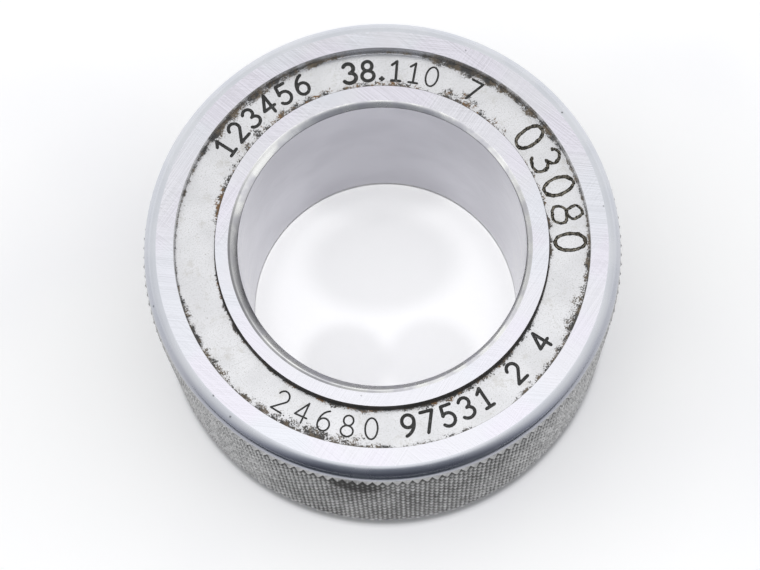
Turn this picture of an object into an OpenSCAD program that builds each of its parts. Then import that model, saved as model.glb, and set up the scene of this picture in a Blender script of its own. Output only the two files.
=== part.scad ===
// Setting ring gauge: a hardened steel master ring with a lapped bore, a diamond knurled
// grip and a sunk marking track in its upper face. One solid piece.
// The origin is on the bore axis, in the lower face that the ring rests on.

/* [Ring] */
// Diameter of the gauging bore
bore_d = 38.11; // [28.8:0.01:40]
// Height between the two lapped faces
height = 33.34; // [20:0.02:36]

/* [Section, from the bore outward] */
// Width of the 45 degree chamfer at each end of the bore
chamfer_w = 0.7; // [0.3:0.05:1.5]
// How far the upper chamfer was cut off the bore axis
chamfer_shift = 0.28; // [0:0.02:0.28]
// Direction of that shift, counterclockwise from +X
chamfer_shift_angle = 210; // [0:5:355]
// Width of the lapped land between the chamfer and the track
inner_land_w = 2.25; // [1:0.05:5]
// Width of the marking track that is sunk in the upper face
track_w = 5.4; // [3:0.1:9]
// Width of the lapped land between the track and the rounded edge
outer_land_w = 2.35; // [1:0.05:5]
// Radius of the rounded outer edges
edge_r = 1.7; // [0.6:0.1:1.9]

/* [Marking track] */
// Depth of the track below the upper face
track_depth = 1.6; // [0.6:0.1:2.5]
// Radius that the turning tool left in the corners of the track
track_corner_r = 0.25; // [0.1:0.05:0.5]

/* [Knurl] */
// Pitch of the diamonds around the ring
knurl_pitch = 1.62; // [1.6:0.02:2.4]
// Angle of the knurl's grooves to the ring's axis
knurl_angle = 32; // [20:1:34]
// Depth of the grooves, from crest to bottom
knurl_depth = 0.55; // [0.45:0.05:0.8]
// How far the crests stand proud of the turned shoulders
crest_rise = 0.3; // [0.1:0.05:0.4]
// Height of the plain turned shoulder at each end of the knurl
shoulder_h = 2.1; // [2:0.1:6]

/* [Hidden] */
$fn = 180;

// Radii of the section, each one step further out
bore_r = bore_d / 2;
track_inner_r = bore_r + chamfer_w + inner_land_w;
track_outer_r = track_inner_r + track_w;
shoulder_r = track_outer_r + outer_land_w + edge_r;
outer_r = shoulder_r + crest_rise;
// Cutters run past the face they open into
cut_clear = 1;

// The grooves run out into the shoulders, a little below their surface
runout_r = shoulder_r - 0.1;
runout_h = 0.1;
// The turned blank under the knurl lies below the bottoms of the grooves
groove_r = outer_r - knurl_depth;
seat_r = groove_r - 0.2;

teeth = round(2 * PI * outer_r / knurl_pitch);
knurl_h = height - 2 * shoulder_h;
rows = round(2 * knurl_h * tan(knurl_angle) / knurl_pitch);
row_h = knurl_h / rows;
row_points = 2 * teeth;

// The ring as it comes off the lathe: rounded edges, and a seat for the knurled drum
module turned_blank() {
    rotate_extrude() difference() {
        square([shoulder_r, height]);
        translate([shoulder_r, height]) edge_cut();
        translate([shoulder_r, 0]) mirror([0, 1]) edge_cut();
        translate([seat_r, shoulder_h]) square([outer_r, knurl_h]);
    }
}

// What rounding takes off a square corner that points to +X and +Y
module edge_cut() {
    difference() {
        translate([-edge_r, -edge_r]) square(edge_r + cut_clear);
        translate([-edge_r, -edge_r]) circle(edge_r);
    }
}

// A point of the knurl: crests and groove crossings alternate around and along the drum
function is_end(row) = row == 0 || row == rows;
function point_r(step, row) =
    is_end(row) ? runout_r
    : (step + row) % 2 == 0 ? outer_r : groove_r;
function point_z(row) =
    shoulder_h + row * row_h + (row == 0 ? -runout_h : row == rows ? runout_h : 0);
function knurl_point(step, row) =
    let (turn = 360 * step / row_points, r = point_r(step, row))
    [r * cos(turn), r * sin(turn), point_z(row)];

// Two triangles between four neighbouring points, folded along the groove
function point_index(step, row) = row * row_points + step % row_points;
function knurl_cell(step, row) =
    let (
        a = point_index(step, row),
        b = point_index(step + 1, row),
        c = point_index(step + 1, row + 1),
        d = point_index(step, row + 1)
    )
    (step + row) % 2 == 0 ? [[a, d, b], [b, d, c]] : [[a, c, b], [a, d, c]];

// A drum with pyramids all over its side, cut by left-hand and right-hand grooves
module knurled_drum() {
    points = [for (row = [0 : rows], step = [0 : row_points - 1]) knurl_point(step, row)];
    side = [for (row = [0 : rows - 1], step = [0 : row_points - 1]) each knurl_cell(step, row)];
    lower_end = [for (step = [0 : row_points - 1]) point_index(step, 0)];
    upper_end = [for (step = [row_points - 1 : -1 : 0]) point_index(step, rows)];
    polyhedron(points, concat(side, [lower_end, upper_end]));
}

// The gauging bore, with a true chamfer below and one a little off centre above
module bore_cut() {
    reach = bore_r + chamfer_w + cut_clear;
    translate([0, 0, -cut_clear]) cylinder(h = height + 2 * cut_clear, r = bore_r);
    translate([0, 0, -cut_clear]) cylinder(h = reach, r1 = reach, r2 = 0);
    translate([0, 0, height + cut_clear - reach]) rotate(chamfer_shift_angle) translate([chamfer_shift, 0])
        cylinder(h = reach, r1 = 0, r2 = reach);
}

// The track that carries the markings, with rounded corners at its floor
module track_cut() {
    rotate_extrude() translate([track_inner_r, height - track_depth]) {
        translate([track_corner_r, 0]) square([track_w - 2 * track_corner_r, track_depth + cut_clear]);
        translate([0, track_corner_r]) square([track_w, track_depth - track_corner_r + cut_clear]);
        for (x = [track_corner_r, track_w - track_corner_r])
            translate([x, track_corner_r]) circle(track_corner_r);
    }
}

module ring() {
    color([0.78, 0.78, 0.8]) difference() {
        union() {
            turned_blank();
            knurled_drum();
        }
        bore_cut();
        track_cut();
    }
}

ring();
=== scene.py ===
import math
import random
from typing import NamedTuple

import bmesh
import bpy
from bpy.props import FloatProperty, FloatVectorProperty, IntProperty, PointerProperty, StringProperty
from mathutils import Matrix, Vector


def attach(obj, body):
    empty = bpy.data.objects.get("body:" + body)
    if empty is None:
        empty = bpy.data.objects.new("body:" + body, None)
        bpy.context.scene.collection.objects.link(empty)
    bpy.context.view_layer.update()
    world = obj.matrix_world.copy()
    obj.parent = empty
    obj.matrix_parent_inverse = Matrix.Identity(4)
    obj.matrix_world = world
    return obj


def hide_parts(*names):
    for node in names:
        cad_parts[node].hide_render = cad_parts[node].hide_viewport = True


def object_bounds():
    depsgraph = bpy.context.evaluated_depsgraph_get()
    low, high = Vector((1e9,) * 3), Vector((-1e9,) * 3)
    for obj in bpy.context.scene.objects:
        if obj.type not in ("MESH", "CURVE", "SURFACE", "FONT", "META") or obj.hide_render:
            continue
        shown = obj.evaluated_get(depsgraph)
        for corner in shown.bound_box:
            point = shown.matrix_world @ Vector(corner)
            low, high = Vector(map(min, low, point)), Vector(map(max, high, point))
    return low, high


bl_info = {
    "name": "Setting ring gauge",
    "version": (1, 0, 0),
    "blender": (4, 5, 0),
    "location": "3D View > Sidebar > Ring gauge",
    "description": "Turns, stamps, knurls and finishes a setting ring gauge around its packed solid",
    "category": "Add Mesh",
}

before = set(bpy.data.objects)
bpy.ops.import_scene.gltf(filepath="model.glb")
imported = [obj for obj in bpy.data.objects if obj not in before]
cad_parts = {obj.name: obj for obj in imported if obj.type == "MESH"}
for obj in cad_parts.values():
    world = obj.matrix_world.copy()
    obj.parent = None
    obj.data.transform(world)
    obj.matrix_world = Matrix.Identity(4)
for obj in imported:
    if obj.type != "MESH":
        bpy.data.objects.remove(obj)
CAD_LOW, CAD_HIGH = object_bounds()

MM = 0.001
DEG = math.pi / 180

# Material slots of the ring, in the order of their indices
LAND, TRACK, RIM, KNURL, CHAMFER, BORE, STAMPED, ENGRAVED = range(8)


# Settings

class RingSizes(bpy.types.PropertyGroup):
    """Sizes of the turned ring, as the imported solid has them."""

    bore_d: FloatProperty(
        name="Bore", description="Diameter of the gauging bore",
        default=38.11 * MM, unit="LENGTH", precision=5
    )
    chamfer_w: FloatProperty(
        name="Chamfer", description="Width of the chamfers at the bore's ends",
        default=0.7 * MM, unit="LENGTH", precision=5
    )
    chamfer_shift: FloatProperty(
        name="Chamfer shift", description="How far the upper chamfer is off the axis",
        default=0.28 * MM, unit="LENGTH", precision=5
    )
    chamfer_turn: FloatProperty(
        name="Shift direction", description="Direction of the chamfer's shift, from +X",
        default=210 * DEG, subtype="ANGLE"
    )
    chamfer_break: FloatProperty(
        name="Chamfer rim", description="How far the chamfer's rim is rounded off",
        default=0.3 * MM, unit="LENGTH", precision=5
    )
    foot_break: FloatProperty(
        name="Chamfer foot", description="How far the chamfer's foot is rounded off",
        default=0.1 * MM, unit="LENGTH", precision=5
    )
    inner_land_w: FloatProperty(
        name="Inner land", description="Width of the land inside the track",
        default=2.25 * MM, unit="LENGTH", precision=5
    )
    track_w: FloatProperty(
        name="Track width", description="Width of the marking track",
        default=5.4 * MM, unit="LENGTH", precision=5
    )
    track_depth: FloatProperty(
        name="Track depth", description="Depth of the marking track",
        default=1.6 * MM, unit="LENGTH", precision=5
    )
    track_corner_r: FloatProperty(
        name="Track corners", description="Radius in the corners of the track",
        default=0.25 * MM, unit="LENGTH", precision=5
    )
    edge_r: FloatProperty(
        name="Outer edges", description="Radius of the rounded outer edges",
        default=1.7 * MM, unit="LENGTH", precision=5
    )
    shoulder_h: FloatProperty(
        name="Shoulder", description="Height of the plain shoulder at each end of the knurl",
        default=2.1 * MM, unit="LENGTH", precision=5
    )
    crest_rise: FloatProperty(
        name="Crest rise", description="How far the knurl stands proud of the shoulders",
        default=0.3 * MM, unit="LENGTH", precision=5
    )
    run_out: FloatProperty(
        name="Run-out", description="Height over which the knurl begins at each shoulder",
        default=1.0 * MM, unit="LENGTH", precision=5
    )
    break_r: FloatProperty(
        name="Broken edges", description="Radius left on the sharp edges by lapping and use",
        default=0.05 * MM, unit="LENGTH", precision=5
    )
    steps: IntProperty(
        name="Steps", description="Steps around the ring, two for each tooth of the knurl",
        default=306, min=60
    )


class KnurlSizes(bpy.types.PropertyGroup):
    """Sizes of the diamond knurl."""

    rows: IntProperty(name="Rows", description="Half diamonds between the two run-outs", default=26, min=4)
    depth: FloatProperty(
        name="Depth", description="Depth of the grooves below the crests",
        default=0.46 * MM, unit="LENGTH", precision=5
    )
    crest_w: FloatProperty(
        name="Crest", description="How far the flat of each crest reaches along its ridges",
        default=0.24 * MM, unit="LENGTH", precision=5
    )
    wear: FloatProperty(
        name="Wear", description="How much lower a worn crest lies",
        default=0.09 * MM, unit="LENGTH", precision=5
    )
    seed: IntProperty(name="Seed", description="Seed of the worn crests", default=4)


class MarkSizes(bpy.types.PropertyGroup):
    """The plain numbers in the track, their height and the width of their strokes."""

    size_text: StringProperty(name="Size", description="Number struck at the top", default="38.110")
    upper_text: StringProperty(
        name="Upper left", description="Number struck at the upper left",
        default="123456",
    )
    single_text: StringProperty(
        name="Single", description="Single figure struck after the size",
        default="7",
    )
    hand_text: StringProperty(
        name="By hand", description="Number engraved by hand at the right",
        default="03080",
    )
    thin_text: StringProperty(
        name="Lower left", description="Number struck with thin punches",
        default="24680",
    )
    lower_text: StringProperty(
        name="Lower right", description="Number struck at the lower right",
        default="97531 2 4",
    )
    height: FloatProperty(
        name="Height", description="Height of the struck figures",
        default=2.8 * MM, unit="LENGTH", precision=5
    )
    stroke: FloatProperty(
        name="Stroke", description="Width of a struck stroke",
        default=0.36 * MM, unit="LENGTH", precision=5
    )
    bold_stroke: FloatProperty(
        name="Bold stroke", description="Width of a stroke of the bold punches",
        default=0.46 * MM, unit="LENGTH", precision=5
    )
    thin_stroke: FloatProperty(
        name="Thin stroke", description="Width of a stroke of the thin punches",
        default=0.25 * MM, unit="LENGTH", precision=5
    )


class GaugeFinish(bpy.types.PropertyGroup):
    """Colours of the finishes."""

    steel: FloatVectorProperty(
        name="Steel", description="Lapped steel", subtype="COLOR", size=3, min=0, max=1,
        default=(0.735, 0.73, 0.77)
    )
    dark_steel: FloatVectorProperty(
        name="Knurled steel", description="Crests of the knurl", subtype="COLOR", size=3, min=0, max=1,
        default=(0.41, 0.41, 0.41)
    )
    floor_steel: FloatVectorProperty(
        name="Track floor",
        description="Satin floor of the track", subtype="COLOR", size=3, min=0, max=1,
        default=(0.77, 0.77, 0.785)
    )
    oil: FloatVectorProperty(
        name="Oil and grime",
        description="Old oil in grooves and corners", subtype="COLOR", size=3, min=0, max=1,
        default=(0.035, 0.034, 0.032)
    )
    rust: FloatVectorProperty(
        name="Rust", description="Light rust along the walls", subtype="COLOR", size=3, min=0, max=1,
        default=(0.3, 0.155, 0.06)
    )


class StageSettings(bpy.types.PropertyGroup):
    """Camera and light."""

    lens: FloatProperty(name="Lens", description="Focal length", default=103.11 * MM, unit="CAMERA")
    distance: FloatProperty(
        name="Distance", description="From the camera to the middle of the upper face",
        default=285.9 * MM, unit="LENGTH"
    )
    elevation: FloatProperty(
        name="Elevation", description="Of the camera above the floor",
        default=73.255 * DEG, subtype="ANGLE"
    )
    pan: FloatProperty(
        name="Pan", description="Turn of the camera about its upright",
        default=0.109 * DEG, subtype="ANGLE"
    )
    tilt: FloatProperty(
        name="Tilt", description="Turn of the camera about its horizontal",
        default=-1.109 * DEG, subtype="ANGLE"
    )
    roll: FloatProperty(
        name="Roll", description="Turn of the camera about its line of sight",
        default=3.147 * DEG, subtype="ANGLE"
    )
    sky: FloatProperty(name="Sky", description="Strength of the light from all round", default=1.0, min=0)


class GaugeSettings(bpy.types.PropertyGroup):
    """All settings of the ring gauge."""

    ring: PointerProperty(type=RingSizes)
    knurl: PointerProperty(type=KnurlSizes)
    marks: PointerProperty(type=MarkSizes)
    finish: PointerProperty(type=GaugeFinish)
    stage: PointerProperty(type=StageSettings)


# Radii and heights worked out from the settings

class Section:
    """Radii and heights of the ring's section, in metres."""

    def __init__(self, ring):
        self.height = CAD_HIGH[2] - CAD_LOW[2]
        self.bore_r = ring.bore_d / 2
        self.chamfer_r = self.bore_r + ring.chamfer_w
        self.track_inner_r = self.chamfer_r + ring.inner_land_w
        self.track_outer_r = self.track_inner_r + ring.track_w
        self.land_r = CAD_HIGH[0] - ring.crest_rise - ring.edge_r
        self.shoulder_r = CAD_HIGH[0] - ring.crest_rise
        self.crest_r = CAD_HIGH[0]
        self.floor_z = self.height - ring.track_depth
        self.shoulder_low = ring.shoulder_h
        self.shoulder_high = self.height - ring.shoulder_h
        self.knurl_low = self.shoulder_low + ring.run_out
        self.knurl_high = self.shoulder_high - ring.run_out


# How near a normal's z is to 1 on a flat face, to 0 on an upright one
FLAT, UPRIGHT = 0.999, 0.001
# Edges sharper than this stay sharp, beside flat or upright faces and elsewhere
SHARP_BY_PLAIN, SHARP = 4 * DEG, 32 * DEG


def radius(point):
    return math.hypot(point[0], point[1])


def near(value, target, margin=0.01 * MM):
    return abs(value - target) < margin


# The turned blank

def profile_face(bm, ring, section):
    """Half section of the ring as one face, with its corners rounded."""
    s = section
    corners = {
        "lower chamfer": (s.chamfer_r, 0),
        "lower edge": (s.shoulder_r, 0),
        "shoulder low": (s.shoulder_r, s.shoulder_low),
        "knurl low": (s.shoulder_r, s.knurl_low),
        "knurl high": (s.shoulder_r, s.knurl_high),
        "shoulder high": (s.shoulder_r, s.shoulder_high),
        "upper edge": (s.shoulder_r, s.height),
        "track outer rim": (s.track_outer_r, s.height),
        "track outer foot": (s.track_outer_r, s.floor_z),
        "track inner foot": (s.track_inner_r, s.floor_z),
        "track inner rim": (s.track_inner_r, s.height),
        "upper chamfer": (s.chamfer_r, s.height),
        "bore top": (s.bore_r, s.height - ring.chamfer_w),
        "bore foot": (s.bore_r, ring.chamfer_w),
    }
    verts = {name: bm.verts.new((x, 0, z)) for name, (x, z) in corners.items()}
    bm.faces.new(verts.values())
    rounds = (
        (("lower edge", "upper edge"), ring.edge_r, 10),
        (("track outer foot", "track inner foot"), ring.track_corner_r, 4),
        (("track outer rim", "track inner rim", "lower chamfer", "bore foot"), ring.break_r, 3),
    )
    for names, size, segments in rounds:
        bmesh.ops.bevel(bm, geom=[verts[name] for name in names], offset=size, segments=segments,
                        profile=0.5, affect="VERTICES", material=-1)


def turn_blank(settings):
    """Spins the half section round the axis and returns the blank as a mesh object."""
    ring, section = settings.ring, Section(settings.ring)
    bm = bmesh.new()
    profile_face(bm, ring, section)
    bmesh.ops.delete(bm, geom=bm.faces[:], context="FACES_ONLY")
    side = [e for e in bm.edges
            if all(near(v.co.x, section.shoulder_r) for v in e.verts)
            and near(abs(e.verts[0].co.z - e.verts[1].co.z), section.knurl_high - section.knurl_low)]
    bmesh.ops.subdivide_edges(bm, edges=side, cuts=settings.knurl.rows - 1)
    bmesh.ops.spin(bm, geom=bm.verts[:] + bm.edges[:], cent=(0, 0, 0), axis=(0, 0, 1), angle=2 * math.pi,
                   steps=ring.steps, use_merge=True, use_duplicate=False)
    bmesh.ops.remove_doubles(bm, verts=bm.verts[:], dist=0.001 * MM)
    shift_upper_chamfer(bm, ring, section)
    break_chamfer_edges(bm, ring, section)
    bmesh.ops.recalc_face_normals(bm, faces=bm.faces[:])
    mesh = bpy.data.meshes.new("ring_body")
    bm.to_mesh(mesh)
    bm.free()
    for material in ring_materials(settings):
        mesh.materials.append(material)
    body = bpy.data.objects.new("ring_body", mesh)
    bpy.context.scene.collection.objects.link(body)
    return body


def chamfer_reach(angle, ring, section):
    """Distance from the bore's axis to the rim of the upper chamfer, which was cut off centre."""
    turn = angle - ring.chamfer_turn
    sideways = ring.chamfer_shift * math.sin(turn)
    return math.sqrt(section.chamfer_r ** 2 - sideways ** 2) + ring.chamfer_shift * math.cos(turn)


def shift_upper_chamfer(bm, ring, section):
    """Moves the upper chamfer off centre: its rim slides over the land, its foot along the bore."""
    foot_z = section.height - ring.chamfer_w
    for v in bm.verts:
        angle = math.atan2(v.co.y, v.co.x)
        reach = chamfer_reach(angle, ring, section)
        if near(radius(v.co), section.chamfer_r) and near(v.co.z, section.height):
            v.co.x, v.co.y = reach * math.cos(angle), reach * math.sin(angle)
        elif near(radius(v.co), section.bore_r) and near(v.co.z, foot_z):
            v.co.z = section.height - (reach - section.bore_r)


def break_chamfer_edges(bm, ring, section):
    """Rounds the two edges of the upper chamfer a little."""
    def on_rim(v, reach):
        return near(v.co.z, section.height) and near(radius(v.co), reach)

    def on_foot(v, reach):
        return near(radius(v.co), section.bore_r) and near(v.co.z, section.height - reach + section.bore_r)

    for on_edge, size, segments in ((on_rim, ring.chamfer_break, 6), (on_foot, ring.foot_break, 3)):
        picked = {v for v in bm.verts
                  if on_edge(v, chamfer_reach(math.atan2(v.co.y, v.co.x), ring, section))}
        edges = [e for e in bm.edges
                 if picked.issuperset(e.verts) and near(e.verts[0].co.z, e.verts[1].co.z, 0.02 * MM)]
        bmesh.ops.bevel(bm, geom=edges, offset=size, segments=segments, profile=0.5, affect="EDGES",
                        material=-1)


# The numbers in the track

def arc(x, y, rx, ry, start, end, count=14):
    """Points along an ellipse's arc, in parts of a figure's height."""
    turns = [math.radians(start + (end - start) * i / count) for i in range(count + 1)]
    return [(x + rx * math.cos(t), y + ry * math.sin(t)) for t in turns]


# Strokes of each figure in a box 0.62 wide and 1 high
FIGURES = {
    "0": [arc(0.31, 0.5, 0.29, 0.5, 90, 450, 24)],
    "1": [[(0.1, 0.8), (0.33, 1), (0.33, 0)], [(0.12, 0), (0.54, 0)]],
    "2": [arc(0.31, 0.71, 0.27, 0.29, 165, -30) + [(0.04, 0), (0.6, 0)]],
    "3": [arc(0.28, 0.75, 0.25, 0.25, 150, -80) + arc(0.28, 0.26, 0.31, 0.26, 80, -150)],
    "4": [[(0.45, 0), (0.45, 1), (0.02, 0.3), (0.62, 0.3)]],
    "5": [[(0.56, 1), (0.13, 1), (0.09, 0.54)] + arc(0.28, 0.32, 0.31, 0.32, 130, -145)],
    "6": [arc(0.62, 0.36, 0.59, 0.66, 108, 180) + arc(0.31, 0.3, 0.28, 0.3, 180, 530, 22)],
    "7": [[(0.03, 1), (0.59, 1), (0.2, 0)]],
    "8": [arc(0.31, 0.76, 0.23, 0.24, 270, 630, 20), arc(0.31, 0.26, 0.29, 0.26, 90, 450, 22)],
    "9": [arc(0, 0.64, 0.59, 0.66, 288, 360) + arc(0.31, 0.7, 0.28, 0.3, 360, 710, 22)],
    ".": [[(0.24, 0.08), (0.38, 0.08)], [(0.31, 0.02), (0.31, 0.14)]],
}
FIGURE_MIDDLE = (0.31, 0.5)

# How a hand goes over each figure: how far it wavers, and where
HAND_PASSES = ((0.012, 1.3), (0.03, 2.9), (0.026, 4.4))

# Places in the track: angle of the first figure, step to the next, radius of their middle
UPPER_PLACE = (143.5, -6.2, 25.2)
SIZE_PLACE = (97.2, -5.7, 24.75)
SINGLE_PLACE = (57.6, 0, 25)
HAND_PLACE = (34.5, -9.1, 24.85)
THIN_PLACE = (235, 7.2, 24.6)
LOWER_PLACE = (275, 6.2, 24.4)


def figure_matrix(angle, middle_r, height, outward, z):
    """Places a figure in the track, with its top outward or toward the bore."""
    turn = angle - 90 if outward else angle + 90
    place = Vector((middle_r * math.cos(angle * DEG), middle_r * math.sin(angle * DEG), z))
    middle = Vector((FIGURE_MIDDLE[0], FIGURE_MIDDLE[1], 0))
    return (Matrix.Translation(place) @ Matrix.Rotation(turn * DEG, 4, "Z")
            @ Matrix.Scale(height, 4) @ Matrix.Translation(-middle))


def tube_ends(first, second, reach):
    """Two points that round off a tube's end: each with its share of the radius."""
    away = (first - second).normalized() * reach
    return [(first + away, 0.15), (first + 0.75 * away, 0.66)]


def add_tube(curve, points, width, closed):
    """Adds one stroke to a curve, as a tube with round ends."""
    share = width / 2 / curve.bevel_depth
    knots = [(point, 1) for point in points]
    if not closed:
        knots = (tube_ends(points[0], points[1], width / 2) + knots
                 + tube_ends(points[-1], points[-2], width / 2)[::-1])
    spline = curve.splines.new("POLY")
    spline.points.add(len(knots) - 1)
    spline.use_cyclic_u = closed
    for target, (point, size) in zip(spline.points, knots):
        target.co = (*point, 1)
        target.radius = size * share


def straight_parts(stroke):
    """Splits a stroke where it turns sharply."""
    parts, part = [], [stroke[0]]
    for before, here, after in zip(stroke, stroke[1:], stroke[2:]):
        part.append(here)
        turn = Vector(here).to_2d() - Vector(before).to_2d()
        if turn.angle(Vector(after).to_2d() - Vector(here).to_2d(), 0) > 40 * DEG:
            parts.append(part)
            part = [here]
    return parts + [part + [stroke[-1]]]


def add_figure(curve, figure, matrix, width, wobble=0.0, phase=0.0):
    """Adds a figure's strokes to a curve. wobble lets them waver, as a hand does."""
    for stroke in FIGURES[figure]:
        closed = math.dist(stroke[0], stroke[-1]) < 0.01
        for part in [stroke[:-1]] if closed else straight_parts(stroke):
            places = []
            for i, (x, y) in enumerate(part):
                turn = 2 * math.pi * 5 * i / len(part) if closed else 1.1 * i
                sway = [wobble * (math.sin(0.6 * turn + start) + 0.45 * math.sin(2.1 * turn + 3 * start))
                        for start in (phase, 2 * phase + 1)]
                places.append(matrix @ Vector((x + sway[0], y + sway[1], 0)))
            add_tube(curve, places, width, closed)


def figure_angles(text, start, step):
    """Angle of each figure. A point takes less room than a figure."""
    angles, angle = [], start
    for i, figure in enumerate(text):
        if i:
            angle += step * (0.78 if "." in (figure, text[i - 1]) else 1)
        angles.append(angle)
    return angles


class Number(NamedTuple):
    """A number in the track. fade is the share of its stroke's width that is lost along it."""

    text: str
    place: tuple
    height: float
    outward: bool
    width: float
    fade: float = 0.0


def number_cutter(name, numbers, floor_z, material_index, passes=((0.0, 0.0),)):
    """Turns numbers into closed tubes along their strokes, which cut grooves in the floor."""
    curve = bpy.data.curves.new(name, "CURVE")
    curve.dimensions = "3D"
    curve.bevel_depth = 0.1 * MM
    curve.bevel_resolution = 2
    curve.use_fill_caps = True
    for number in numbers:
        start, step, middle_r = number.place
        for i, (figure, angle) in enumerate(zip(number.text, figure_angles(number.text, start, step))):
            if figure == " ":
                continue
            matrix = figure_matrix(angle, middle_r * MM, number.height, number.outward, floor_z)
            width = number.width * (1 - number.fade * i / len(number.text))
            for wobble, phase in passes:
                add_figure(curve, figure, matrix, width, wobble, phase * (i + 1))
    holder = bpy.data.objects.new(name, curve)
    bpy.context.scene.collection.objects.link(holder)
    mesh = bpy.data.meshes.new_from_object(holder.evaluated_get(bpy.context.evaluated_depsgraph_get()))
    bpy.data.objects.remove(holder)
    mesh.materials.clear()
    for index in range(material_index + 1):
        mesh.materials.append(None)
    for face in mesh.polygons:
        face.material_index = material_index
    cutter = bpy.data.objects.new(name, mesh)
    bpy.context.scene.collection.objects.link(cutter)
    return cutter


def drop_doubled_faces(mesh):
    """Takes out faces that lie on one another, which the cut leaves where strokes meet."""
    bm = bmesh.new()
    bm.from_mesh(mesh)
    seen, doubled = {}, []
    for face in bm.faces:
        corners = frozenset(face.verts)
        if corners not in seen:
            seen[corners] = face
            continue
        doubled.append(face)
        if all(len(edge.link_faces) % 2 == 0 for edge in face.edges):
            doubled.append(seen.pop(corners))
    bmesh.ops.delete(bm, geom=doubled, context="FACES_ONLY")
    bmesh.ops.delete(bm, geom=[e for e in bm.edges if e.is_wire], context="EDGES")
    bm.to_mesh(mesh)
    bm.free()


def stamp_numbers(body, settings):
    """Cuts the numbers into the floor of the track."""
    marks, section = settings.marks, Section(settings.ring)
    h = marks.height
    struck = [
        Number(marks.upper_text, UPPER_PLACE, h, True, marks.bold_stroke),
        Number(marks.size_text, SIZE_PLACE, h, True, 1.2 * marks.bold_stroke, fade=0.62),
        Number(marks.single_text, SINGLE_PLACE, h, True, marks.stroke),
        Number(marks.lower_text, LOWER_PLACE, h, False, marks.bold_stroke),
        Number(marks.thin_text, THIN_PLACE, h, False, marks.thin_stroke),
    ]
    by_hand = [Number(marks.hand_text, HAND_PLACE, 1.44 * h, True, 1.02 * marks.stroke)]
    cutters = [
        number_cutter("struck", struck, section.floor_z, STAMPED),
        number_cutter("by_hand", by_hand, section.floor_z, ENGRAVED, HAND_PASSES),
    ]
    for cutter in cutters:
        cut = body.modifiers.new(cutter.name, "BOOLEAN")
        cut.operation = "DIFFERENCE"
        cut.solver = "EXACT"
        cut.use_self = True
        cut.object = cutter
    mesh = bpy.data.meshes.new_from_object(body.evaluated_get(bpy.context.evaluated_depsgraph_get()))
    body.modifiers.clear()
    drop_doubled_faces(mesh)
    body.data = mesh
    for cutter in cutters:
        bpy.data.objects.remove(cutter)


# The knurl

def roll_knurl(body, settings):
    """Raises crests and sinks crossings on the band between the shoulders."""
    ring, knurl, section = settings.ring, settings.knurl, Section(settings.ring)
    row_h = (section.knurl_high - section.knurl_low) / knurl.rows
    groove_r = section.crest_r - knurl.depth
    tip_r = section.crest_r + knurl.crest_w * knurl.depth / math.hypot(knurl.depth, row_h)
    rng = random.Random(knurl.seed)
    bm = bmesh.new()
    bm.from_mesh(body.data)
    bm.verts.ensure_lookup_table()
    crests, valleys = [], []
    for v in bm.verts:
        row = (v.co.z - section.knurl_low) / row_h
        if not near(radius(v.co), section.shoulder_r) or not -0.01 < row < knurl.rows + 0.01:
            continue
        step = round(math.atan2(v.co.y, v.co.x) / (2 * math.pi) * ring.steps)
        row = round(row)
        is_crest = (step + row) % 2 == 0
        reach = tip_r - rng.random() ** 3 * knurl.wear if is_crest else groove_r
        v.co.x *= reach / section.shoulder_r
        v.co.y *= reach / section.shoulder_r
        (crests if is_crest else valleys).append(v)
    bmesh.ops.connect_verts(bm, verts=valleys)
    bmesh.ops.bevel(bm, geom=crests, offset=knurl.crest_w, segments=1, profile=0.5, affect="VERTICES",
                    material=-1)
    bmesh.ops.recalc_face_normals(bm, faces=bm.faces[:])
    bm.to_mesh(body.data)
    bm.free()


# Finishes by place

def sort_finishes(body, settings):
    """Gives each face the slot of its finish, and marks the edges that stay sharp."""
    section = Section(settings.ring)
    bm = bmesh.new()
    bm.from_mesh(body.data)
    for face in bm.faces:
        if face.material_index in (STAMPED, ENGRAVED):
            continue
        centre = face.calc_center_median()
        face.material_index = finish_at(radius(centre), centre.z, face.normal, section)
    plain = {face for face in bm.faces if not UPRIGHT <= abs(face.normal.z) <= FLAT}
    for edge in bm.edges:
        limit = SHARP_BY_PLAIN if plain.intersection(edge.link_faces) else SHARP
        edge.smooth = edge.calc_face_angle(0) < limit
    for face in bm.faces:
        face.smooth = face.material_index != KNURL and abs(face.normal.z) < FLAT
    bm.to_mesh(body.data)
    bm.free()


def finish_at(r, z, normal, section):
    s = section
    flat = abs(normal.z) > FLAT
    if flat and (near(z, s.height) or near(z, 0)):
        return LAND
    if s.track_inner_r - 0.1 * MM < r < s.track_outer_r + 0.1 * MM and z > s.floor_z - 0.5 * MM:
        return TRACK
    if r < s.bore_r + 0.02 * MM and abs(normal.z) < 0.2:
        return BORE
    if r < s.track_inner_r - 1 * MM:
        return CHAMFER
    if s.shoulder_low < z < s.shoulder_high and r > s.land_r:
        return KNURL
    return RIM


# Materials

def node(tree, kind, inputs=None, **settings):
    """Adds a node. inputs gives its sockets a value or a link, settings its own options."""
    made = tree.nodes.new("ShaderNode" + kind)
    for name, value in settings.items():
        setattr(made, name, value)
    for name, value in (inputs or {}).items():
        socket = made.inputs[name]
        if isinstance(value, bpy.types.NodeSocket):
            tree.links.new(value, socket)
        else:
            socket.default_value = value
    return made


def calc(tree, operation, *values, clamp=False):
    """Adds a Math node and returns its output."""
    return node(tree, "Math", dict(enumerate(values)), operation=operation, use_clamp=clamp).outputs[0]


def ease(tree, value, low, high, to_low=0.0, to_high=1.0):
    """Carries a value smoothly from one range to another."""
    inputs = {"Value": value, "From Min": low, "From Max": high, "To Min": to_low, "To Max": to_high}
    return node(tree, "MapRange", inputs, interpolation_type="SMOOTHSTEP").outputs["Result"]


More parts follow.
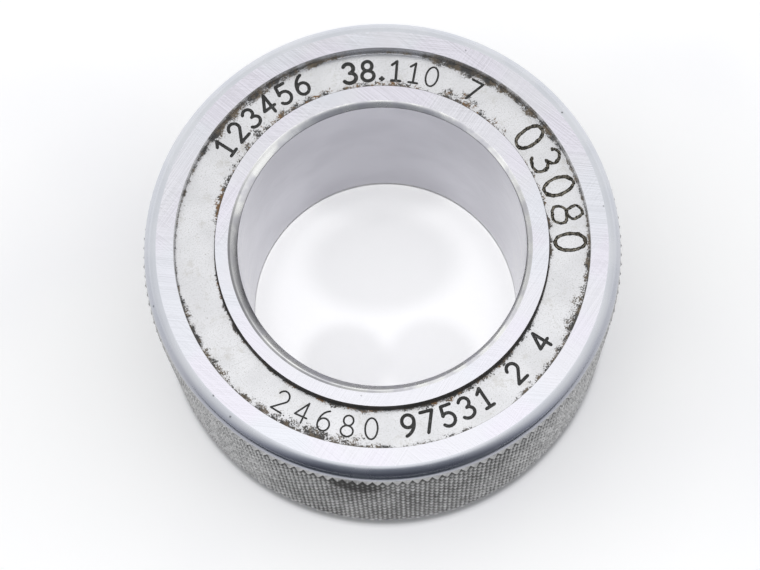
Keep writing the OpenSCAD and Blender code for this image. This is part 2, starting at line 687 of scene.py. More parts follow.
def blend(tree, factor, first, second):
    """Mixes two colours."""
    made = node(tree, "Mix", data_type="RGBA")
    for index, value in ((0, factor), (6, first), (7, second)):
        if isinstance(value, bpy.types.NodeSocket):
            tree.links.new(value, made.inputs[index])
        else:
            made.inputs[index].default_value = value if index == 0 else (*value, 1)
    return made.outputs[2]


def new_group(name, inputs, outputs):
    """A node group with named sockets. Returns it with its input and output nodes."""
    group = bpy.data.node_groups.new(name, "ShaderNodeTree")
    for label, kind, default in inputs:
        socket = group.interface.new_socket(label, in_out="INPUT", socket_type="NodeSocket" + kind)
        if default is not None:
            socket.default_value = default
    for label, kind in outputs:
        group.interface.new_socket(label, in_out="OUTPUT", socket_type="NodeSocket" + kind)
    return group, group.nodes.new("NodeGroupInput").outputs, group.nodes.new("NodeGroupOutput").inputs


def use_group(tree, group, inputs):
    """Places a group in a material and returns its outputs."""
    made = tree.nodes.new("ShaderNodeGroup")
    made.node_tree = group
    for name, value in inputs.items():
        if isinstance(value, bpy.types.NodeSocket):
            tree.links.new(value, made.inputs[name])
        else:
            made.inputs[name].default_value = value
    return made.outputs


def lapping_group():
    """Fine straight scratches that one direction of lapping leaves."""
    group, given, result = new_group(
        "lapping_lines",
        [("Vector", "Vector", None), ("Turn", "Float", 0.0), ("Length", "Float", 6 * MM),
         ("Pitch", "Float", 0.2 * MM)],
        [("Lines", "Float")],
    )
    turn = node(group, "CombineXYZ", {"Z": given["Turn"]}).outputs[0]
    size = node(group, "CombineXYZ", {"X": given["Length"], "Y": given["Pitch"],
                                      "Z": given["Length"]}).outputs[0]
    along = node(group, "Mapping", {"Vector": given["Vector"], "Rotation": turn, "Scale": size},
                 vector_type="TEXTURE").outputs[0]
    lines = node(group, "TexNoise", {"Vector": along, "Scale": 1.0, "Detail": 3.0,
                                     "Roughness": 0.65}).outputs[0]
    group.links.new(lines, result["Lines"])
    return group


def speck_group():
    """Small scattered pits and dirt specks."""
    group, given, result = new_group(
        "specks",
        [("Vector", "Vector", None), ("Spacing", "Float", 1 * MM), ("Amount", "Float", 0.1),
         ("Size", "Float", 0.1)],
        [("Mask", "Float")],
    )
    density = calc(group, "DIVIDE", 1.0, given["Spacing"])
    cells = node(group, "TexVoronoi", {"Vector": given["Vector"], "Scale": density}, feature="F1")
    shape = node(group, "TexNoise", {"Vector": given["Vector"], "Scale": 9000.0, "Detail": 2.0}).outputs[0]
    ragged = calc(group, "MULTIPLY_ADD", shape, 0.12, cells.outputs["Distance"])
    edge = calc(group, "ADD", given["Size"], 0.06)
    past_edge = calc(group, "ADD", edge, 0.05)
    dots = node(group, "MapRange", {"Value": ragged, "From Min": edge, "From Max": past_edge, "To Min": 1.0,
                                    "To Max": 0.0}).outputs[0]
    chosen = calc(group, "LESS_THAN", part_of(group, cells.outputs["Color"], 0), given["Amount"])
    group.links.new(calc(group, "MULTIPLY", dots, chosen), result["Mask"])
    return group


def polar_group():
    """Distance from the bore's axis, and the direction from it."""
    group, given, result = new_group("polar", [("Vector", "Vector", None)],
                                     [("Radius", "Float"), ("Direction", "Vector")])
    flat = node(group, "VectorMath", {0: given["Vector"], 1: (1, 1, 0)}, operation="MULTIPLY").outputs[0]
    length = node(group, "VectorMath", {0: flat}, operation="LENGTH").outputs["Value"]
    toward = node(group, "VectorMath", {0: flat}, operation="NORMALIZE").outputs[0]
    group.links.new(length, result["Radius"])
    group.links.new(toward, result["Direction"])
    return group


def wall_dirt_group():
    """Grainy dirt that thins out with the distance from a wall."""
    group, given, result = new_group(
        "wall_dirt",
        [("Vector", "Vector", None), ("Distance", "Float", 0.0), ("Reach", "Float", 0.5 * MM),
         ("Grain", "Float", 4500.0)],
        [("Mask", "Float")],
    )
    fine = node(group, "TexNoise", {"Vector": given["Vector"], "Scale": given["Grain"], "Detail": 5.0,
                                    "Roughness": 0.75}).outputs[0]
    broad = node(group, "TexNoise", {"Vector": given["Vector"], "Scale": 900.0, "Detail": 3.0}).outputs[0]
    share = calc(group, "DIVIDE", given["Distance"], calc(group, "MAXIMUM", given["Reach"], 0.001 * MM))
    level = calc(group, "MULTIPLY_ADD", fine, 3.4, calc(group, "MULTIPLY_ADD", broad, 2.4, -2.85))
    group.links.new(ease(group, calc(group, "SUBTRACT", level, share), -0.66, -0.28), result["Mask"])
    return group


def new_material(name):
    """A Principled material. Returns it with its tree, shader and Object coordinates."""
    material = bpy.data.materials.new(name)
    material.use_nodes = True
    tree = material.node_tree
    shader = tree.nodes["Principled BSDF"]
    place = node(tree, "TexCoord").outputs["Object"]
    return material, tree, shader, place


def bump(tree, height, distance, strength):
    """Relief from a height. Returns the normal."""
    return node(tree, "Bump", {"Height": height, "Distance": distance, "Strength": strength}).outputs[0]


def part_of(tree, vector, axis):
    """One part of a vector: 0, 1 or 2."""
    return node(tree, "SeparateXYZ", {0: vector}).outputs[axis]


# Directions of the lapping lines on the faces: angle, length, pitch
LAPPING = ((-9 * DEG, 22 * MM, 0.1 * MM), (-42 * DEG, 18 * MM, 0.09 * MM), (54 * DEG, 16 * MM, 0.11 * MM))


def lapped_lines(tree, place, group):
    """Lapping lines in all directions. Here and there one direction leads."""
    leads = node(tree, "TexNoise", {"Vector": place, "Scale": 70.0, "Detail": 1.0}).outputs["Color"]
    leads = node(tree, "SeparateXYZ", {0: leads}).outputs
    total = 0.5
    for (turn, length, pitch), lead in zip(LAPPING, leads):
        lines = use_group(tree, group, {"Vector": place, "Turn": turn, "Length": length,
                                        "Pitch": pitch})["Lines"]
        share = ease(tree, lead, 0.42, 0.6, 0.15, 0.85)
        total = calc(tree, "MULTIPLY_ADD", calc(tree, "SUBTRACT", lines, 0.5), share, total)
    return total


def land_material(finish, groups):
    material, tree, shader, place = new_material("lapped_land")
    lines = lapped_lines(tree, place, groups["lapping"])
    tint = node(tree, "TexNoise", {"Vector": place, "Scale": 75.0, "Detail": 2.0})
    steel = tuple(finish.steel)
    cool = (steel[0] * 0.985, steel[1] * 1.005, steel[2] * 1.01)
    warm = (steel[0] * 1.01, steel[1] * 0.99, steel[2] * 1.02)
    hues = node(tree, "SeparateXYZ", {0: tint.outputs["Color"]}).outputs
    colour = blend(tree, ease(tree, hues[0], 0.45, 0.6), steel, cool)
    colour = blend(tree, ease(tree, hues[1], 0.48, 0.62), colour, warm)
    shade = ease(tree, lines, 0.36, 0.62, 0.89, 1.065)
    colour = node(tree, "VectorMath", {0: colour, 1: shade}, operation="MULTIPLY").outputs[0]
    specks = use_group(tree, groups["specks"], {"Vector": place, "Spacing": 2.1 * MM, "Amount": 0.3,
                                                "Size": 0.02})
    colour = blend(tree, calc(tree, "MULTIPLY", specks["Mask"], 0.8), colour, (0.1, 0.1, 0.11))
    tree.links.new(colour, shader.inputs["Base Color"])
    tree.links.new(ease(tree, lines, 0.35, 0.65, 0.16, 0.26), shader.inputs["Roughness"])
    tree.links.new(bump(tree, lines, 0.005 * MM, 0.6), shader.inputs["Normal"])
    shader.inputs["Metallic"].default_value = 1.0
    return material


def rim_material(finish, groups, section):
    material, tree, shader, place = new_material("turned_rim")
    broad = node(tree, "TexNoise", {"Vector": place, "Scale": 160.0, "Detail": 3.0}).outputs[0]
    specks = use_group(tree, groups["specks"], {"Vector": place, "Spacing": 1.9 * MM, "Amount": 0.2,
                                                "Size": 0.05})
    colour = blend(tree, ease(tree, broad, 0.35, 0.65), (0.7, 0.72, 0.765), (0.76, 0.775, 0.81))
    colour = blend(tree, calc(tree, "MULTIPLY", specks["Mask"], 0.7), colour, tuple(finish.oil))
    direction = use_group(tree, groups["polar"], {"Vector": place})["Direction"]
    # Painted reflection: the rim is painted toward dark slate blue, most where it faces the front and least
    # at its top, for the dark front of the room that it mirrors.
    front = ease(tree, part_of(tree, direction, 1), 0.4, -0.9, 0.13, 0.6)
    z = part_of(tree, place, 2)
    low = ease(tree, z, section.height, section.height - 0.45 * MM, 0.15, 1.0)
    colour = blend(tree, calc(tree, "MULTIPLY", front, low), colour, (0.065, 0.07, 0.125))
    # Painted shade: from about 1.4 mm below the top downward, the rim is painted darker grey where it faces
    # the front.
    shoulder = ease(tree, z, section.height - 1.4 * MM, section.height - 1.7 * MM, 0.0, 0.28)
    colour = blend(tree, calc(tree, "MULTIPLY", shoulder, front), colour, (0.2, 0.19, 0.19))
    tree.links.new(colour, shader.inputs["Base Color"])
    tree.links.new(ease(tree, broad, 0.3, 0.7, 0.2, 0.3), shader.inputs["Roughness"])
    tree.links.new(bump(tree, broad, 0.01 * MM, 0.4), shader.inputs["Normal"])
    shader.inputs["Metallic"].default_value = 1.0
    return material


def bore_material(groups):
    material, tree, shader, place = new_material("lapped_bore")
    stretched = node(tree, "VectorMath", {0: place, 1: (0.2, 0.2, 1)}, operation="MULTIPLY").outputs[0]
    rings = use_group(tree, groups["lapping"], {"Vector": stretched, "Turn": 0.0, "Length": 0.3 * MM,
                                                "Pitch": 20 * MM})["Lines"]
    tint = node(tree, "TexNoise", {"Vector": place, "Scale": 90.0, "Detail": 2.0}).outputs[0]
    specks = use_group(tree, groups["specks"], {"Vector": place, "Spacing": 3 * MM, "Amount": 0.16,
                                                "Size": 0.03})
    colour = blend(tree, ease(tree, tint, 0.35, 0.65), (0.425, 0.42, 0.465), (0.48, 0.475, 0.52))
    colour = blend(tree, calc(tree, "MULTIPLY", specks["Mask"], 0.6), colour, (0.2, 0.2, 0.21))
    tree.links.new(colour, shader.inputs["Base Color"])
    tree.links.new(ease(tree, rings, 0.3, 0.7, 0.13, 0.22), shader.inputs["Roughness"])
    tree.links.new(bump(tree, rings, 0.002 * MM, 0.3), shader.inputs["Normal"])
    shader.inputs["Metallic"].default_value = 1.0
    return material


# Directions in which the chamfer is painted dark as painted shade: angle and half width in degrees, how
# dark
DARK_CHAMFER = ((-4, 34, 0.55), (188, 32, 0.75), (90, 50, 0.2))


def chamfer_material(finish, groups, ring, section):
    """Turned cone, off centre. Its steel is painted near white in places as a painted sheen, painted darker
    in some directions as painted shade, and has a dark line of painted shade along both of its edges.
    """
    material, tree, shader, place = new_material("bore_chamfer")
    polar = use_group(tree, groups["polar"], {"Vector": place})
    direction = polar["Direction"]
    toward = (ring.chamfer_shift * math.cos(ring.chamfer_turn),
              ring.chamfer_shift * math.sin(ring.chamfer_turn), 0)
    shift = node(tree, "VectorMath", {0: direction, 1: toward}, operation="DOT_PRODUCT").outputs["Value"]
    from_rim = calc(tree, "SUBTRACT", calc(tree, "ADD", shift, section.chamfer_r), polar["Radius"])
    from_bore = calc(tree, "SUBTRACT", polar["Radius"], section.bore_r)
    # Painted shade: a dark line along the chamfer's rim, in an arc of directions, and one along its foot
    # all round.
    rim_line = calc(tree, "MULTIPLY", ease(tree, from_rim, 0.05 * MM, -0.06 * MM),
                    arc_mask(tree, direction, 208, 80, 1.3))
    line = calc(tree, "MAXIMUM", rim_line, ease(tree, from_bore, 0.11 * MM, 0.03 * MM))
    broad = node(tree, "TexNoise", {"Vector": place, "Scale": 420.0, "Detail": 3.0}).outputs[0]
    nicks = use_group(tree, groups["specks"], {"Vector": place, "Spacing": 1.1 * MM, "Amount": 0.12,
                                               "Size": 0.06})
    # Painted shade in the directions of DARK_CHAMFER.
    dark = None
    for angle, half, strength in DARK_CHAMFER:
        part = arc_mask(tree, direction, angle, half, strength)
        dark = part if dark is None else calc(tree, "ADD", dark, part)
    steel = tuple(finish.steel)
    # Painted sheen: here and there the chamfer's steel is painted near white.
    colour = blend(tree, ease(tree, broad, 0.4, 0.68), (0.97, 0.97, 0.95), steel)
    colour = blend(tree, dark, colour, (0.34, 0.34, 0.35))
    colour = blend(tree, calc(tree, "MULTIPLY", line, 0.5), colour, (0.16, 0.16, 0.17))
    colour = blend(tree, calc(tree, "MULTIPLY", nicks["Mask"], 0.6), colour, (0.3, 0.3, 0.3))
    tree.links.new(colour, shader.inputs["Base Color"])
    tree.links.new(ease(tree, broad, 0.3, 0.7, 0.24, 0.36), shader.inputs["Roughness"])
    tree.links.new(bump(tree, broad, 0.02 * MM, 0.5), shader.inputs["Normal"])
    tree.links.new(ease(tree, dark, 0.0, 1.0, 0.8, 1.0), shader.inputs["Metallic"])
    return material


def knurl_material(finish, groups, section, depth):
    """Steel crests kept bare by the hand, over grooves filled with old oil. Straight at the front the knurl
    is painted darker as painted shade, and toward its upper end lighter as painted light.
    """
    material, tree, shader, place = new_material("knurled_grip")
    polar = use_group(tree, groups["polar"], {"Vector": place})
    height = calc(tree, "SUBTRACT", polar["Radius"], section.crest_r - depth)
    broad = node(tree, "TexNoise", {"Vector": place, "Scale": 130.0, "Detail": 3.0}).outputs[0]
    patch = node(tree, "VectorMath", {0: place, 1: OIL_PATCH}, operation="DISTANCE").outputs["Value"]
    oily = ease(tree, calc(tree, "MULTIPLY_ADD", broad, 3 * MM, patch), 3.6 * MM, 7 * MM, 1.0, 0.0)
    level = calc(tree, "MULTIPLY_ADD", broad, 0.5, calc(tree, "DIVIDE", height, depth))
    level = calc(tree, "MULTIPLY_ADD", oily, -0.5, level)
    # Painted shade: the knurl is painted darker where it faces straight to the front.
    front = part_of(tree, polar["Direction"], 1)
    level = calc(tree, "ADD", level, ease(tree, front, -0.97, -0.5, 0.0, 0.4))
    z = part_of(tree, place, 2)
    # Painted light: toward the upper run-out the knurl is painted lighter and evener, for its teeth that
    # face the light from above.
    end = ease(tree, z, section.knurl_high - 0.2 * MM, section.shoulder_high)
    level = calc(tree, "MULTIPLY_ADD", end, 0.55, level)
    # Crest colour over oil: partly the real oil in the grooves and in the patch, partly the painted shade
    # and light above.
    clean_and_painted_light = ease(tree, level, 0.42, 1.12)
    grain = node(tree, "TexNoise", {"Vector": place, "Scale": 1400.0, "Detail": 3.0,
                                    "Roughness": 0.7}).outputs[0]
    dull, bright, even = (tuple(share * c for c in finish.dark_steel) for share in (0.62, 1.22, 0.95))
    crest = blend(tree, ease(tree, grain, 0.36, 0.64), dull, bright)
    crest = blend(tree, calc(tree, "MULTIPLY", end, 0.8), crest, even)
    tree.links.new(blend(tree, clean_and_painted_light, tuple(finish.oil), crest), shader.inputs["Base Color"])
    tree.links.new(ease(tree, clean_and_painted_light, 0.0, 1.0, 0.6, 0.3), shader.inputs["Roughness"])
    tree.links.new(ease(tree, clean_and_painted_light, 0.0, 0.6, 0.2, 1.0), shader.inputs["Metallic"])
    return material


# The darkest oil on the knurl, just under the shoulder at the front
OIL_PATCH = (-5.2 * MM, -30.6 * MM, 28.2 * MM)

# Arcs of dirt along the track's walls: angle of the middle, half width in degrees, reach from the wall
OUTER_DIRT = ((127, 28, 0.75 * MM), (62, 15, 0.85 * MM), (205, 17, 0.5 * MM), (222, 12, 0.6 * MM),
              (240, 15, 1.2 * MM), (258, 15, 1.3 * MM), (38, 14, 0.5 * MM), (318, 14, 0.7 * MM),
              (336, 9, 1.2 * MM), (350, 14, 0.5 * MM), (283, 12, 0.6 * MM))
INNER_DIRT = ((124, 28, 1.5 * MM), (86, 18, 1.35 * MM), (61, 9, 2.0 * MM), (158, 16, 0.9 * MM),
              (200, 18, 0.25 * MM), (230, 14, 0.1 * MM), (256, 14, 0.4 * MM), (288, 18, 0.55 * MM),
              (318, 18, 0.4 * MM), (47, 9, 1.1 * MM), (8, 26, 0.4 * MM))
# Reach of the thin dirt that runs all along both walls
THIN_DIRT = 0.27 * MM


def arc_mask(tree, direction, angle, half, height=1.0):
    """Rises toward one direction from the axis, within so many degrees on each side."""
    toward = (math.cos(angle * DEG), math.sin(angle * DEG), 0)
    facing = node(tree, "VectorMath", {0: direction, 1: toward}, operation="DOT_PRODUCT").outputs["Value"]
    return ease(tree, facing, math.cos(half * DEG), math.cos(0.35 * half * DEG), 0.0, height)


def dirt_reach(tree, direction, arcs):
    """How far dirt reaches from a wall, in each direction from the axis."""
    total = THIN_DIRT
    for angle, half, reach in arcs:
        total = calc(tree, "ADD", total, arc_mask(tree, direction, angle, half, reach))
    return total


def track_material(finish, groups, section):
    """Satin floor with grime and light rust along both walls, and painted shade in the corner at the foot
    of the inner wall.
    """
    material, tree, shader, place = new_material("track_floor")
    polar = use_group(tree, groups["polar"], {"Vector": place})
    from_inner = calc(tree, "SUBTRACT", polar["Radius"], section.track_inner_r)
    from_outer = calc(tree, "SUBTRACT", section.track_outer_r, polar["Radius"])
    z = part_of(tree, place, 2)
    up_wall = calc(tree, "MULTIPLY", calc(tree, "SUBTRACT", z, section.floor_z), 0.95)
    from_outer = calc(tree, "ADD", from_outer, up_wall)
    dirt = []
    for distance, arcs, grain in ((from_inner, INNER_DIRT, 4200.0), (from_outer, OUTER_DIRT, 4700.0)):
        reach = dirt_reach(tree, polar["Direction"], arcs)
        given = {"Vector": place, "Distance": distance, "Reach": reach, "Grain": grain}
        dirt.append(use_group(tree, groups["wall dirt"], given)["Mask"])
    grime = calc(tree, "MAXIMUM", *dirt)
    rusty = node(tree, "TexNoise", {"Vector": place, "Scale": 800.0, "Detail": 4.0,
                                    "Roughness": 0.7}).outputs[0]
    rust = calc(tree, "MULTIPLY", ease(tree, rusty, 0.5, 0.62), dirt[0])
    old_oil = blend(tree, ease(tree, rusty, 0.42, 0.6), tuple(finish.oil), (0.17, 0.125, 0.075))
    broad = node(tree, "TexNoise", {"Vector": place, "Scale": 220.0, "Detail": 3.0}).outputs[0]
    fine = node(tree, "TexNoise", {"Vector": place, "Scale": 5200.0, "Detail": 2.0}).outputs[0]
    specks = use_group(tree, groups["specks"], {"Vector": place, "Spacing": 1.3 * MM, "Amount": 0.12,
                                                "Size": 0.04})
    floor = tuple(finish.floor_steel)
    colour = blend(tree, ease(tree, broad, 0.35, 0.68), floor, tuple(0.92 * c for c in floor))
    colour = blend(tree, ease(tree, fine, 0.52, 0.76, 0.0, 0.5), colour, (0.42, 0.42, 0.39))
    stain = node(tree, "TexNoise", {"Vector": place, "Scale": 520.0, "Detail": 5.0,
                                    "Roughness": 0.7}).outputs[0]
    colour = blend(tree, ease(tree, stain, 0.53, 0.68, 0.0, 0.36), colour, (0.5, 0.48, 0.43))
    hair = use_group(tree, groups["lapping"], {"Vector": place, "Turn": 25 * DEG, "Length": 5 * MM,
                                               "Pitch": 0.12 * MM})["Lines"]
    colour = blend(tree, ease(tree, hair, 0.62, 0.72, 0.0, 0.25), colour, (0.4, 0.4, 0.4))
    colour = blend(tree, calc(tree, "MULTIPLY", specks["Mask"], 0.5), colour, (0.2, 0.19, 0.17))
    colour = blend(tree, calc(tree, "MULTIPLY", grime, 0.92), colour, old_oil)
    colour = blend(tree, calc(tree, "MULTIPLY", rust, 0.75), colour, tuple(finish.rust))
    # Painted shade: a dark band in the corner at the foot of the inner wall, in darkened oil colour. From
    # here on the grime mask also holds this painted shade, which makes the floor rougher and less metallic
    # there.
    inner_corner_shade = ease(tree, from_inner, 0.27 * MM, 0.12 * MM)
    colour = blend(tree, calc(tree, "MULTIPLY", inner_corner_shade, 0.9), colour, tuple(0.7 * c for c in finish.oil))
    grime = calc(tree, "MAXIMUM", grime, inner_corner_shade)
    tree.links.new(colour, shader.inputs["Base Color"])
    tree.links.new(ease(tree, grime, 0.0, 1.0, 0.27, 0.7), shader.inputs["Roughness"])
    tree.links.new(ease(tree, grime, 0.2, 0.8, 0.9, 0.1), shader.inputs["Metallic"])
    tree.links.new(bump(tree, fine, 0.01 * MM, 0.3), shader.inputs["Normal"])
    return material


def mark_material(name, dark, light, amount):
    """Old dirt in a struck or engraved stroke."""
    material, tree, shader, place = new_material(name)
    grain = node(tree, "TexNoise", {"Vector": place, "Scale": 3600.0, "Detail": 3.0}).outputs[0]
    tree.links.new(blend(tree, ease(tree, grain, 0.62 - amount, 0.72 - amount), dark, light),
                   shader.inputs["Base Color"])
    tree.links.new(ease(tree, grain, 0.3, 0.7, 0.55, 0.75), shader.inputs["Roughness"])
    tree.links.new(bump(tree, grain, 0.03 * MM, 0.5), shader.inputs["Normal"])
    shader.inputs["Metallic"].default_value = 0.15
    return material


def ring_materials(settings):
    """Every finish of the ring, in the order of the slots."""
    finish, section = settings.finish, Section(settings.ring)
    groups = {"lapping": lapping_group(), "specks": speck_group(), "polar": polar_group(),
              "wall dirt": wall_dirt_group()}
    return [
        land_material(finish, groups),
        track_material(finish, groups, section),
        rim_material(finish, groups, section),
        knurl_material(finish, groups, section, settings.knurl.depth),
        chamfer_material(finish, groups, settings.ring, section),
        bore_material(groups),
        mark_material("struck_mark", (0.06, 0.06, 0.058), (0.17, 0.17, 0.165), 0.05),
        mark_material("engraved_mark", (0.08, 0.077, 0.068), (0.36, 0.33, 0.27), 0.17),
    ]


# Stage

FLOOR_SIZE = 6.0
CARD_SIZE = (0.5, 0.6)
CARD_PLACE = (0, -0.37, 0.0005)
# Brightest part of the sky: how far behind the zenith, where it fades in and is full, how much brighter
SKY_LEAN = 7 * DEG
LOBE_EDGE, LOBE_CORE = 16 * DEG, 2 * DEG
LOBE_GAIN = 0.52
LAMP_PLACE = (-0.15, 0.1, 0.95)
LAMP_SIZE = 0.9
LAMP_POWER = 0.5
# Light that the bore's bright wall throws on the table
BORE_GLOW = 0.66
# Duller patches in the light that the bore's wall throws on the table: place, half width, half depth,
# how much less
BORE_LOBES = ((0, 7 * MM, 11 * MM, 7.6 * MM, 0.14), (0, 22 * MM, 15 * MM, 8 * MM, 0.12),
              (-6.3 * MM, -8.2 * MM, 6.4 * MM, 6.2 * MM, 0.15),
              (6.3 * MM, -8.2 * MM, 6.4 * MM, 6.2 * MM, 0.13))


def add_camera(stage):
    """Camera at the photograph's angle, by its distance, elevation and three small turns."""
    top = Vector((0, 0, CAD_HIGH[2]))
    back = Vector((0, -math.cos(stage.elevation), math.sin(stage.elevation)))
    forward, right = -back, Vector((1, 0, 0))
    up = right.cross(forward)
    pan = Matrix.Rotation(stage.pan, 3, up)
    forward, right = pan @ forward, pan @ right
    tilt = Matrix.Rotation(stage.tilt, 3, right)
    forward, up = tilt @ forward, tilt @ up
    roll = Matrix.Rotation(stage.roll, 3, forward)
    right, up = roll @ right, roll @ up
    data = bpy.data.cameras.new("camera")
    data.lens = stage.lens / MM
    data.sensor_width = 36
    data.clip_start = 0.01
    camera = bpy.data.objects.new("camera", data)
    turn = Matrix((right, up, -forward)).transposed().to_4x4()
    camera.matrix_world = Matrix.Translation(top + stage.distance * back) @ turn
    bpy.context.scene.collection.objects.link(camera)
    bpy.context.scene.camera = camera


def stage_plane(name, width, height, matrix, material):
    bm = bmesh.new()
    bmesh.ops.create_grid(bm, x_segments=1, y_segments=1, size=0.5,
                          matrix=matrix @ Matrix.Diagonal((width, height, 1, 1)))
    mesh = bpy.data.meshes.new(name)
    bm.to_mesh(mesh)
    bm.free()
    mesh.materials.append(material)
    plane = bpy.data.objects.new(name, mesh)
    bpy.context.scene.collection.objects.link(plane)
    return plane


def floor_material(section):
    """Pale table. It glows a little where it is seen, and more in the bore, whose bright wall lights it:
    this glow is painted light. A painted contact shadow darkens it round the ring's foot.
    """
    material, tree, shader, place = new_material("pale_floor")
    folds = node(tree, "TexNoise", {"Vector": place, "Scale": 22.0, "Detail": 2.0}).outputs[0]
    from_axis = node(tree, "VectorMath", {0: place}, operation="LENGTH").outputs["Value"]
    colour = blend(tree, ease(tree, folds, 0.45, 0.7), (0.96, 0.96, 0.96), (0.92, 0.92, 0.935))
    # Painted contact shadow: a dark band painted on the table round the foot of the ring.
    shade = ease(tree, from_axis, section.shoulder_r - 0.1 * MM, section.crest_r + 0.3 * MM, 0.55, 0.0)
    shade = calc(tree, "MULTIPLY", shade, calc(tree, "GREATER_THAN", from_axis, section.land_r))
    tree.links.new(blend(tree, shade, colour, (0.2, 0.2, 0.2)), shader.inputs["Base Color"])
    shader.inputs["Roughness"].default_value = 0.8
    shader.inputs["Specular IOR Level"].default_value = 0.2
    # Painted light in the bore: a glowing pool with duller painted patches, and painted shade close to the
    # wall.
    glow = BORE_GLOW
    for x, y, half, deep, less in BORE_LOBES:
        patch = {"Vector": place, "Location": (x, y, 0), "Scale": (half, deep, 1)}
        away = node(tree, "Mapping", patch, vector_type="TEXTURE").outputs[0]
        away = node(tree, "VectorMath", {0: away}, operation="LENGTH").outputs["Value"]
        glow = calc(tree, "SUBTRACT", glow, ease(tree, away, 1.25, 0.75, 0.0, less))
    by_wall = ease(tree, from_axis, section.bore_r - 4.5 * MM, section.bore_r, 0.0, 0.08)
    glow = calc(tree, "SUBTRACT", glow, by_wall)
    # Painted light outside the bore: the glow is brighter in front of and behind the ring, and fades out
    # toward its foot as painted contact shadow. Only camera and glossy rays see the glow.
    toward = node(tree, "VectorMath", {0: place}, operation="NORMALIZE").outputs[0]
    lengthwise = calc(tree, "POWER", part_of(tree, toward, 1), 2.0)
    open_glow = calc(tree, "MULTIPLY_ADD", lengthwise, 0.13, 0.14)
    contact = ease(tree, from_axis, section.shoulder_r, section.crest_r + 0.8 * MM)
    in_bore = calc(tree, "LESS_THAN", from_axis, section.bore_r)
    outside = calc(tree, "MULTIPLY", open_glow, contact)
    sides = {"Factor": in_bore, "A": outside, "B": glow}
    glow = node(tree, "Mix", sides, data_type="FLOAT").outputs["Result"]
    path = node(tree, "LightPath").outputs
    seen = calc(tree, "MAXIMUM", path["Is Camera Ray"], path["Is Glossy Ray"])
    tree.links.new(calc(tree, "MULTIPLY", seen, glow), shader.inputs["Emission Strength"])
    shader.inputs["Emission Color"].default_value = (0.985, 0.985, 1, 1)
    return material


def card_material():
    """Dark front of the room, which only the steel reflects."""
    material = bpy.data.materials.new("dark_card")
    material.use_nodes = True
    tree = material.node_tree
    tree.nodes.remove(tree.nodes["Principled BSDF"])
    glow = node(tree, "Emission", {"Color": (0.1, 0.115, 0.13, 1), "Strength": 1.0}).outputs[0]
    tree.links.new(glow, tree.nodes["Material Output"].inputs["Surface"])
    return material


def add_floor(section):
    stage_plane("floor", FLOOR_SIZE, FLOOR_SIZE, Matrix.Identity(4), floor_material(section))
    card = stage_plane("card", *CARD_SIZE, Matrix.Translation(CARD_PLACE), card_material())
    card.visible_camera = False
    card.visible_diffuse = False
    card.visible_shadow = False
    card.visible_transmission = False


def add_sky(stage):
    """Soft light from all round, brightest just behind the zenith. Steel also sees a dark front."""
    world = bpy.data.worlds.new("sky")
    world.use_nodes = True
    tree = world.node_tree
    toward = node(tree, "TexCoord").outputs["Generated"]
    parts = node(tree, "SeparateXYZ", {0: toward}).outputs
    up = calc(tree, "MAXIMUM", parts["Z"], 0.0)
    centre = (0, math.sin(SKY_LEAN), math.cos(SKY_LEAN))
    facing = node(tree, "VectorMath", {0: toward, 1: centre}, operation="DOT_PRODUCT").outputs["Value"]
    lobe = ease(tree, facing, math.cos(LOBE_EDGE), math.cos(LOBE_CORE), 0.0, LOBE_GAIN)
    level = calc(tree, "MULTIPLY", calc(tree, "ADD", lobe, ease(tree, up, 0.0, 0.8, 0.7, 0.89)), stage.sky)
    flat = node(tree, "CombineXYZ", {"X": parts["X"], "Y": parts["Y"]}).outputs[0]
    azimuth = node(tree, "VectorMath", {0: flat}, operation="NORMALIZE").outputs[0]
    ahead = calc(tree, "MULTIPLY", part_of(tree, azimuth, 1), -1.0)
    glossy = node(tree, "LightPath").outputs["Is Glossy Ray"]
    narrow = ease(tree, parts["Z"], 0.1, 0.35, 0.45, 0.56)
    dark = ease(tree, ahead, narrow, calc(tree, "MULTIPLY_ADD", narrow, 0.4, 0.72))
    dark = calc(tree, "MULTIPLY", dark, ease(tree, parts["Y"], -0.04, -0.4))
    dark = calc(tree, "MULTIPLY", dark, glossy)
    level = calc(tree, "MULTIPLY", level, calc(tree, "MULTIPLY_ADD", dark, -0.78, 1.0))
    horizon = calc(tree, "MULTIPLY", glossy, ease(tree, parts["Z"], 0.6, 0.3, 0.0, 0.3))
    level = calc(tree, "MULTIPLY_ADD", calc(tree, "SUBTRACT", 1.0, dark), horizon, level)
    colour = blend(tree, dark, (0.985, 0.99, 1.0), (0.78, 0.84, 1.0))
    tree.links.new(colour, tree.nodes["Background"].inputs["Color"])
    tree.links.new(level, tree.nodes["Background"].inputs["Strength"])
    bpy.context.scene.world = world


def add_lamp():
    """Soft disk lamp above, aimed at the ring and not seen in the steel."""
    data = bpy.data.lights.new("key", "AREA")
    data.shape = "DISK"
    data.size = LAMP_SIZE
    data.energy = LAMP_POWER
    lamp = bpy.data.objects.new("key", data)
    aim = Vector(LAMP_PLACE).to_track_quat("Z", "Y").to_matrix().to_4x4()
    lamp.matrix_world = Matrix.Translation(LAMP_PLACE) @ aim
    lamp.visible_glossy = False
    bpy.context.scene.collection.objects.link(lamp)


# Operators

class GAUGE_OT_turn_blank(bpy.types.Operator):
    """Turn the ring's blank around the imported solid's axis"""

    bl_idname = "gauge.turn_blank"
    bl_label = "Turn blank"

    def execute(self, context):
        turn_blank(context.scene.ring_gauge)
        return {"FINISHED"}


class GAUGE_OT_stamp_numbers(bpy.types.Operator):
    """Stamp plain numbers into the floor of the marking track"""

    bl_idname = "gauge.stamp_numbers"
    bl_label = "Stamp numbers"

    def execute(self, context):
        stamp_numbers(ring_body(), context.scene.ring_gauge)
        return {"FINISHED"}


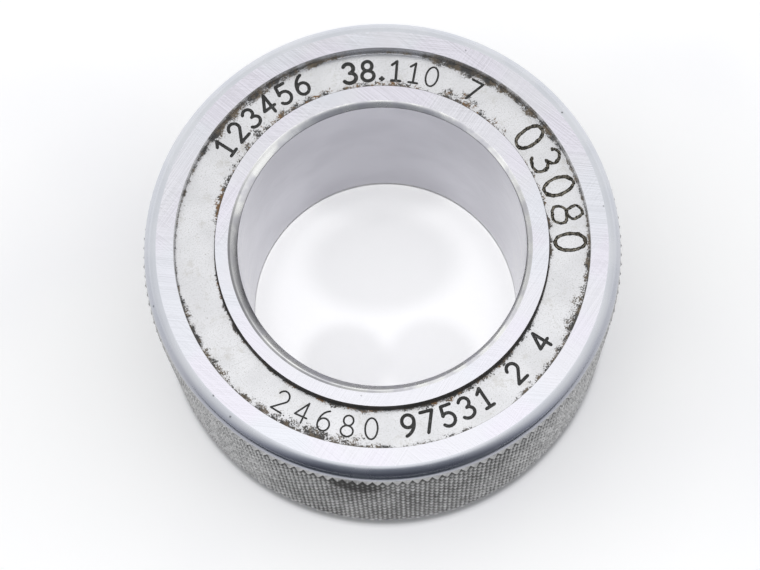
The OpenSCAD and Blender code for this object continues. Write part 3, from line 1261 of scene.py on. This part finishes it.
class GAUGE_OT_roll_knurl(bpy.types.Operator):
    """Roll the diamond knurl onto the side of the ring"""

    bl_idname = "gauge.roll_knurl"
    bl_label = "Roll knurl"

    def execute(self, context):
        roll_knurl(ring_body(), context.scene.ring_gauge)
        return {"FINISHED"}


class GAUGE_OT_finish_ring(bpy.types.Operator):
    """Give every face of the ring its finish and put the ring in the solid's place"""

    bl_idname = "gauge.finish_ring"
    bl_label = "Finish ring"

    def execute(self, context):
        body = ring_body()
        sort_finishes(body, context.scene.ring_gauge)
        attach(body, "root")
        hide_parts("ring")
        return {"FINISHED"}


class GAUGE_OT_set_stage(bpy.types.Operator):
    """Set up the floor, the soft light and the camera"""

    bl_idname = "gauge.set_stage"
    bl_label = "Set stage"

    def execute(self, context):
        stage = context.scene.ring_gauge.stage
        add_camera(stage)
        add_floor(Section(context.scene.ring_gauge.ring))
        add_sky(stage)
        add_lamp()
        context.scene.view_settings.view_transform = "Standard"
        return {"FINISHED"}


class GAUGE_PT_panel(bpy.types.Panel):
    """Steps of making the ring gauge, in order"""

    bl_idname = "GAUGE_PT_panel"
    bl_label = "Ring gauge"
    bl_space_type = "VIEW_3D"
    bl_region_type = "UI"
    bl_category = "Ring gauge"

    def draw(self, context):
        settings = context.scene.ring_gauge
        for group in (settings.ring, settings.knurl, settings.marks, settings.finish, settings.stage):
            box = self.layout.box()
            for name in group.__annotations__:
                box.prop(group, name)
        for step in STEPS:
            self.layout.operator(step.bl_idname)


def ring_body():
    """The ring that the first operator turned."""
    if "ring_body" not in bpy.data.objects:
        raise RuntimeError("turn the blank first")
    return bpy.data.objects["ring_body"]


STEPS = (GAUGE_OT_turn_blank, GAUGE_OT_stamp_numbers, GAUGE_OT_roll_knurl, GAUGE_OT_finish_ring,
         GAUGE_OT_set_stage)
CLASSES = (RingSizes, KnurlSizes, MarkSizes, GaugeFinish, StageSettings, GaugeSettings, *STEPS,
           GAUGE_PT_panel)


def register():
    for cls in CLASSES:
        bpy.utils.register_class(cls)
    bpy.types.Scene.ring_gauge = PointerProperty(type=GaugeSettings)


def unregister():
    del bpy.types.Scene.ring_gauge
    for cls in reversed(CLASSES):
        bpy.utils.unregister_class(cls)


def main():
    register()
    bpy.ops.gauge.turn_blank()
    bpy.ops.gauge.stamp_numbers()
    bpy.ops.gauge.roll_knurl()
    bpy.ops.gauge.finish_ring()
    bpy.ops.gauge.set_stage()


if __name__ == "__main__":
    main()
